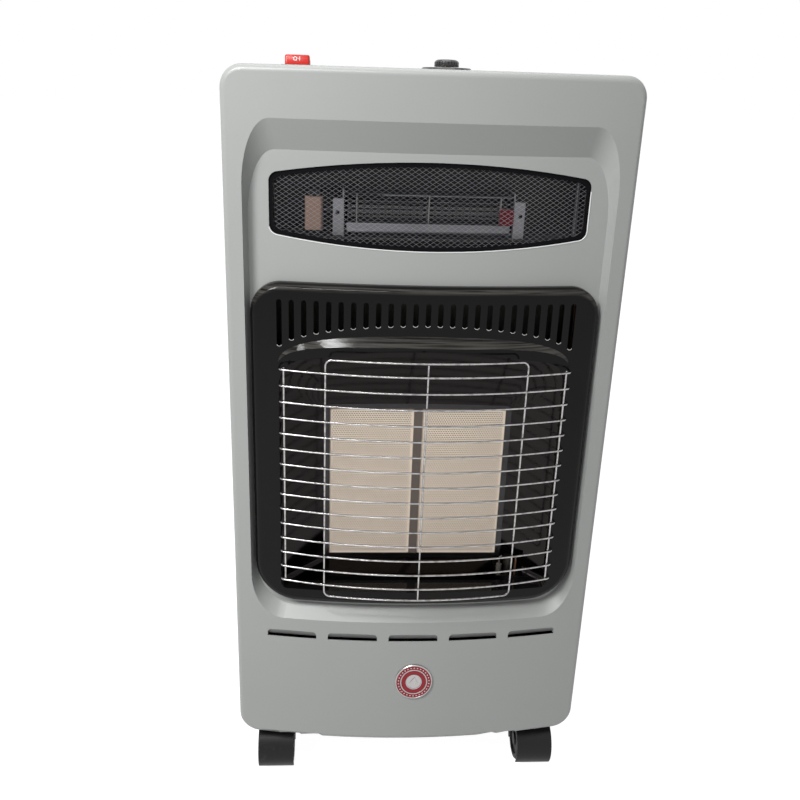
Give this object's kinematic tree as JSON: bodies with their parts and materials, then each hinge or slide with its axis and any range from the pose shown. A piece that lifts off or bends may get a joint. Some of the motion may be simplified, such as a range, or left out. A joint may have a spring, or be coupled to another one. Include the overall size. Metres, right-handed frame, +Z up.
{
  "type": "portable gas cabinet heater",
  "caption": "Wheeled gas cabinet heater with a bowed front, a radiant ceramic burner behind a wire guard, an electric fan heater above it and a cylinder bay with a rear door.",
  "frame": {"origin": "on the floor, under the middle of the heater's bounding box", "axes": "+X to the right seen from the front, the front faces -Y, +Z up"},
  "size_m": [0.3804, 0.4442, 0.7774],
  "materials": {
    "panel_grey": "satin enamel, light warm grey",
    "cabinet_black": "fine textured black powder coat",
    "enamel_black": "gloss vitreous enamel, near black",
    "guard_chrome": "bright plated wire",
    "reflector_steel": "dark polished steel",
    "zinc_steel": "zinc-plated steel",
    "sooted_steel": "steel darkened by heat and soot",
    "mesh_grey": "light grey enamel over expanded metal",
    "plaque_ceramic": "matt cream ceramic pierced with fine holes",
    "insulator_white": "glazed white ceramic",
    "brass": "machined brass",
    "copper": "drawn copper",
    "gas_pipe": "drawn aluminium pipe",
    "lead_black": "sleeved high-tension lead",
    "valve_body": "die-cast",
    "knob_black": "semi-gloss moulding",
    "switch_black": "moulded housing",
    "switch_red": "translucent red rocker",
    "housing_steel": "galvanised sheet",
    "plate_grey": "light grey galvanised flange",
    "rotor_aluminium": "thin sheet blades",
    "core_steel": "laminated core",
    "coil_tape": "varnished tape over copper winding",
    "mica": "mica sheet",
    "element_wire": "resistance wire",
    "cutout_red": "dark red phenolic",
    "castor_charcoal": "charcoal nylon",
    "wheel_black": "hard rubber tread",
    "badge_red": "domed resin over a bright rim",
    "gland_black": "moulded bush"
  },
  "bodies": {
    "cabinet": {"front_panel": "panel_grey", "mesh_rim": "enamel_black", "mesh_grille": "mesh_grey", "burner_surround": "enamel_black", "guard_grille": "guard_chrome", "reflector_box": "reflector_steel", "plaque_left": "plaque_ceramic", "plaque_right": "plaque_ceramic", "plaque_divider": "sooted_steel", "burner_frame": "sooted_steel", "burner_box": "zinc_steel", "mixing_tube": "zinc_steel", "injector": "brass", "pilot_burner": "sooted_steel", "ignition_electrode": "insulator_white", "ignition_lead": "lead_black", "thermocouple": "copper", "pilot_pipe": "gas_pipe", "burner_pipe": "gas_pipe", "inlet_pipe": "gas_pipe", "hose_tail": "brass", "gas_valve": "valve_body", "knob_bezel": "knob_black", "switch_body": "switch_black", "fan_housing": "housing_steel", "fan_end_plates": "plate_grey", "fan_motor_core": "core_steel", "fan_motor_coil": "coil_tape", "element_cards": "mica", "heating_element": "element_wire", "thermal_cutout": "cutout_red", "right_side_panel": "cabinet_black", "left_side_panel": "cabinet_black", "top_panel": "cabinet_black", "base_tray": "cabinet_black", "rear_header": "cabinet_black", "heat_shield": "sooted_steel", "cabinet_screws": "zinc_steel", "castor_stems": "zinc_steel", "badge": "badge_red", "cord_gland": "gland_black"},
    "knob_drive": {"spindle_collar": "brass"},
    "knob": {"control_knob": "knob_black", "valve_spindle": "brass"},
    "rocker": {"switch_rocker": "switch_red"},
    "fan": {"fan_rotor": "rotor_aluminium"},
    "door": {"rear_door": "cabinet_black"},
    "latch": {"door_latch": "switch_black"},
    "castor_front_left": {"castor_front_left_hood": "castor_charcoal"},
    "wheels_front_left": {"castor_front_left_axle": "zinc_steel", "castor_front_left_wheels": "wheel_black"},
    "castor_front_right": {"castor_front_right_hood": "castor_charcoal"},
    "wheels_front_right": {"castor_front_right_axle": "zinc_steel", "castor_front_right_wheels": "wheel_black"},
    "castor_rear_left": {"castor_rear_left_hood": "castor_charcoal"},
    "wheels_rear_left": {"castor_rear_left_axle": "zinc_steel", "castor_rear_left_wheels": "wheel_black"},
    "castor_rear_right": {"castor_rear_right_hood": "castor_charcoal"},
    "wheels_rear_right": {"castor_rear_right_axle": "zinc_steel", "castor_rear_right_wheels": "wheel_black"}
  },
  "joints": [
    {"name": "knob_turn", "type": "hinge", "parent": "cabinet", "child": "knob_drive", "pos_m": [0.012, -0.138, 0.757], "axis": [0, 0, 1], "range_deg": [0, 210]},
    {"name": "knob_push", "type": "slide", "parent": "knob_drive", "child": "knob", "axis": [0, 0, -1], "range_m": [0, 0.004], "stiffness_N_per_m": 600, "springref_m": -0.003},
    {"name": "switch_rock", "type": "hinge", "parent": "cabinet", "child": "rocker", "pos_m": [-0.123, -0.143, 0.765], "axis": [1, 0, 0], "range_deg": [0, 18]},
    {"name": "fan_spin", "type": "hinge", "parent": "cabinet", "child": "fan", "pos_m": [0, -0.134, 0.64], "axis": [1, 0, 0], "continuous": true},
    {"name": "door_swing", "type": "hinge", "parent": "cabinet", "child": "door", "pos_m": [-0.1825, 0.205, 0.38], "axis": [0, 0, 1], "range_deg": [0, 110]},
    {"name": "latch_turn", "type": "hinge", "parent": "door", "child": "latch", "pos_m": [0.162, 0.205, 0.38], "axis": [0, 1, 0], "range_deg": [0, 90]},
    {"name": "front_left_swivel", "type": "hinge", "parent": "cabinet", "child": "castor_front_left", "pos_m": [-0.15, -0.135, 0.055], "axis": [0, 0, 1], "continuous": true},
    {"name": "front_left_roll", "type": "hinge", "parent": "castor_front_left", "child": "wheels_front_left", "pos_m": [-0.15, -0.155, 0.025], "axis": [1, 0, 0], "continuous": true},
    {"name": "front_right_swivel", "type": "hinge", "parent": "cabinet", "child": "castor_front_right", "pos_m": [0.15, -0.135, 0.055], "axis": [0, 0, 1], "continuous": true},
    {"name": "front_right_roll", "type": "hinge", "parent": "castor_front_right", "child": "wheels_front_right", "pos_m": [0.15, -0.155, 0.025], "axis": [1, 0, 0], "continuous": true},
    {"name": "rear_left_swivel", "type": "hinge", "parent": "cabinet", "child": "castor_rear_left", "pos_m": [-0.15, 0.155, 0.055], "axis": [0, 0, 1], "continuous": true},
    {"name": "rear_left_roll", "type": "hinge", "parent": "castor_rear_left", "child": "wheels_rear_left", "pos_m": [-0.15, 0.135, 0.025], "axis": [1, 0, 0], "continuous": true},
    {"name": "rear_right_swivel", "type": "hinge", "parent": "cabinet", "child": "castor_rear_right", "pos_m": [0.15, 0.155, 0.055], "axis": [0, 0, 1], "continuous": true},
    {"name": "rear_right_roll", "type": "hinge", "parent": "castor_rear_right", "child": "wheels_rear_right", "pos_m": [0.15, 0.135, 0.025], "axis": [1, 0, 0], "continuous": true}
  ]
}
